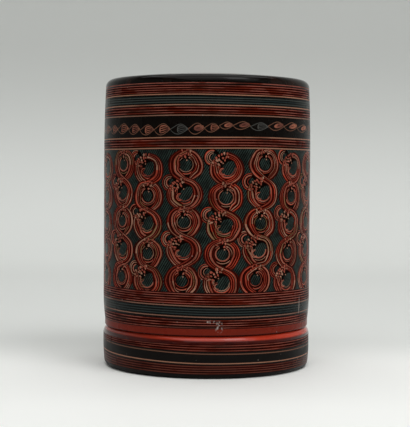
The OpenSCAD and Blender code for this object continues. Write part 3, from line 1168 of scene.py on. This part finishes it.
def inlay(name, drawing, zone, ground, x0, x1, strips):
    """One closed tile of inlaid lacquer, from x0 to x1. Its outer face carries the drawing."""
    top, bottom = zone
    flat, faces, slots = cut_face(drawing, zone, x0, x1, ground, strips)
    runs = rim_runs(flat, zone, x0, x1)
    outer_faces = len(faces)

    def wrapped(p, depth):
        a = p[0] / OUTER_R
        return on_wall(wall_radius(p[1]) - depth, a, p[1] + hand_rise(p[1], a))

    def shares(i):
        return (flat[i][0] - x0) / (x1 - x0), (flat[i][1] - bottom) / (top - bottom)

    vertices = [wrapped(p, 0.0) for p in flat]
    back = {}
    for i in sorted({i for run in runs.values() for i in run}):
        back[i] = len(vertices)
        vertices.append(wrapped(flat[i], INLAY_T))

    left, width, foot, height = FRONT_MAP
    maps = []
    for face in faces:
        for across, up in map(shares, face):
            maps.append((left + width * across, foot + height * up))

    loop = [i for run in runs.values() for i in run[:-1]]
    high, low = EDGE_MAP
    for n, i in enumerate(loop):
        j = loop[(n + 1) % len(loop)]
        faces.append([i, j, back[j], back[i]])
        slots.append("black")
        start, end = n / len(loop), (n + 1) / len(loop)
        maps += [(start, high), (end, high), (end, low), (start, low)]

    foot, height = BACK_MAP
    for k in range(strips):
        strip_left = x0 + (x1 - x0) * k / strips - NEAR
        strip_right = x0 + (x1 - x0) * (k + 1) / strips + NEAR
        outline = [i for i in runs["top"] if strip_left <= flat[i][0] <= strip_right]
        if k == strips - 1:
            outline += runs["right"][1:-1]
        outline += [i for i in runs["bottom"] if strip_left <= flat[i][0] <= strip_right]
        if k == 0:
            outline += runs["left"][1:-1]
        faces.append([back[i] for i in outline])
        slots.append("black")
        maps += [(across, foot + height * up) for across, up in map(shares, outline)]
    piece = finish_mesh(name, vertices, faces, slots, maps, "cover")
    wall_normals(piece, flat, outer_faces)


# Tiles of each inlaid zone, and strips in a tile
PANEL_TILES, PANEL_STRIPS = 8, 16
EYE_TILES, EYE_STRIPS = 4, 32


def make_inlays():
    def tiles(name, drawing, zone, ground, count, strips):
        for k in range(count):
            x0, x1 = (OUTER_R * (-pi + 2 * pi * (k + end) / count) for end in (0, 1))
            inlay(f"{name}_{k + 1}", drawing, zone, ground, x0, x1, strips)

    tiles("cover_panel", draw_panel(), PANEL_ZONE, "hatch", PANEL_TILES, PANEL_STRIPS)
    tiles("cover_eye_band", draw_eyes(), EYE_ZONE, "black", EYE_TILES, EYE_STRIPS)


# Finish of the CAD nodes that are shown as they are
FINISHES = {
    "black": ("base_plate", "lower_tray_floor", "upper_tray_floor"),
    "orange": ("drum_wall", "lower_tray_wall", "upper_tray_wall"),
    "mouth": ("drum_lip", "tray_ledge", "lower_tray_rim", "upper_tray_rim"),
    "hoop": ("cover_mouth_hoop",),
}


def dress_cad_nodes():
    for key, nodes in FINISHES.items():
        for node in nodes:
            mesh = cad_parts[node].data
            mesh.materials.clear()
            mesh.materials.append(MATERIALS[key])


# Stage, light and camera, with places in metres

IMAGE_W_PX = 410
FOCAL_PX = 1247.6
SENSOR_W = 36.0
CAMERA_PLACE = (-0.00096, -0.6689, 0.1036)
CAMERA_PITCH_DEG = 1.985
CAMERA_ROLL_DEG = 0.4
FAR_CLIP = 20.0


def make_camera():
    data = bpy.data.cameras.new("camera")
    data.sensor_fit = "HORIZONTAL"
    data.sensor_width = SENSOR_W
    data.lens = FOCAL_PX / IMAGE_W_PX * SENSOR_W
    data.clip_end = FAR_CLIP
    camera = add_object("camera", data)
    camera.location = CAMERA_PLACE
    camera.rotation_mode = "XYZ"
    tilt = radians(90 - CAMERA_PITCH_DEG)
    roll = radians(CAMERA_ROLL_DEG)
    turn = Matrix.Rotation(tilt, 3, "X") @ Matrix.Rotation(roll, 3, "Z")
    camera.rotation_euler = turn.to_euler("XYZ")
    bpy.context.scene.camera = camera


# Paper colours. The darker paper behind the object and the darker top of the backdrop are painted shade
PAPER = srgb(248, 249, 246)
PAPER_SHADED_BEHIND = srgb(224, 226, 223)
BACKDROP_FOOT = srgb(235, 237, 234)
BACKDROP_SHADED_TOP = srgb(194, 196, 193)
STUDIO_GREY = srgb(200, 201, 199)
PAPER_CLOUDS = (3.0, 2.0)
PAPER_CLOUD_SHADE = 1.03
PAPER_ROUGH = 0.6
PAPER_GLOSS = 0.2

# Where one paper colour turns into the next: behind the object, at the backdrop's foot, up the backdrop, and
# away from the object towards the studio's sides and front
SHADE_BEHIND_Y = (-0.02, 0.1)
BACKDROP_Y = (0.5, 0.8)
BACKDROP_SHADE_Z = (0.0, 0.3)
SIDE_REACH = (0.22, 0.7)
SIDE_Y = (-0.1, 0.45)

STAGE_CENTRE_Y = -0.75
STAGE_R = 1.5
STAGE_BEND = 0.5
STAGE_BEND_STEPS = 20
STAGE_H = 1.65
STAGE_TURNS = 96


def paper():
    """Pale paper by the object, with painted shade behind it and up the backdrop, and grey at the studio's
    sides.
    """
    n = Nodes("paper_sweep")
    colour = n.mix(n.noise(*PAPER_CLOUDS), PAPER, shade(PAPER, PAPER_CLOUD_SHADE))
    # Painted shade: darker behind the object
    colour = n.mix(n.span(n.axis("Y"), *SHADE_BEHIND_Y), colour, PAPER_SHADED_BEHIND)
    colour = n.mix(n.span(n.axis("Y"), *BACKDROP_Y), colour, BACKDROP_FOOT)
    # Painted shade: darker up the backdrop
    colour = n.mix(n.span(n.axis("Z"), *BACKDROP_SHADE_Z), colour, BACKDROP_SHADED_TOP)
    side = n.math("MULTIPLY", n.span(n.length(n.place), *SIDE_REACH), n.span(n.axis("Y"), *SIDE_Y, 1.0, 0.0))
    n.surface(n.mix(side, colour, STUDIO_GREY), PAPER_ROUGH, PAPER_GLOSS)
    return n.material


def make_stage():
    """A round sweep of paper: a floor that curves up into a wall all round."""
    section = [(STAGE_R / 2, 0.0), (STAGE_R, 0.0)]
    bend = arc(0, 0, STAGE_BEND, -90, 0, STAGE_BEND_STEPS)[1:]
    section += [(STAGE_R + r, STAGE_BEND + z) for r, z in bend]
    section.append((STAGE_R + STAGE_BEND, STAGE_H))
    angles = [2 * pi * k / STAGE_TURNS for k in range(STAGE_TURNS)]
    vertices = [(0.0, STAGE_CENTRE_Y, 0.0)]
    for r, z in section:
        vertices += [(r * cos(a), STAGE_CENTRE_Y + r * sin(a), z) for a in angles]
    steps = [(k, (k + 1) % STAGE_TURNS) for k in range(STAGE_TURNS)]
    faces = [(0, 1 + k, 1 + after) for k, after in steps]
    for ring in range(len(section) - 1):
        near = 1 + ring * STAGE_TURNS
        far = near + STAGE_TURNS
        faces += [(near + k, far + k, far + after, near + after) for k, after in steps]
    mesh = bpy.data.meshes.new("sweep")
    mesh.from_pydata(vertices, [], faces)
    mesh.materials.append(paper())
    mesh.polygons.foreach_set("use_smooth", [True] * len(faces))
    sweep = add_object("sweep", mesh)


# Lamps: name, place, aim, width and height, power
LAMPS = (
    ("ceiling", (0.0, -0.3, 1.7), (0.0, -0.3, 0.0), (2.0, 2.0), 17.6),
    ("key", (0.5, -0.55, 1.1), (0.0, 0.05, 0.0), (0.45, 0.45), 2.4),
    ("front", (0.3, -0.95, 1.25), (0.0, 0.0, 0.08), (2.2, 1.1), 8.6),
    ("side", (1.0, -0.8, 0.8), (0.0, 0.0, 0.05), (1.4, 0.9), 0.7),
    ("backdrop", (0.0, 0.5, 1.4), (0.0, 1.25, 0.15), (2.0, 0.3), 3.6),
)
WORLD_COLOUR = (0.04, 0.04, 0.04, 1.0)


def area_light(name, place, aim, size, power):
    data = bpy.data.lights.new(name, "AREA")
    data.shape = "RECTANGLE"
    data.size, data.size_y = size
    data.energy = power
    light = add_object(name, data)
    light.location = place
    light.rotation_euler = (Vector(aim) - Vector(place)).to_track_quat("-Z", "Y").to_euler()


def make_light():
    world = bpy.data.worlds.new("world")
    bpy.context.scene.world = world
    world.use_nodes = True
    world.node_tree.nodes["Background"].inputs["Color"].default_value = WORLD_COLOUR
    for lamp in LAMPS:
        area_light(*lamp)


make_cover_wall()
make_crown()
make_collar()
make_inlays()
dress_cad_nodes()
make_stage()
make_light()
make_camera()
bpy.context.scene.view_settings.view_transform = "Standard"
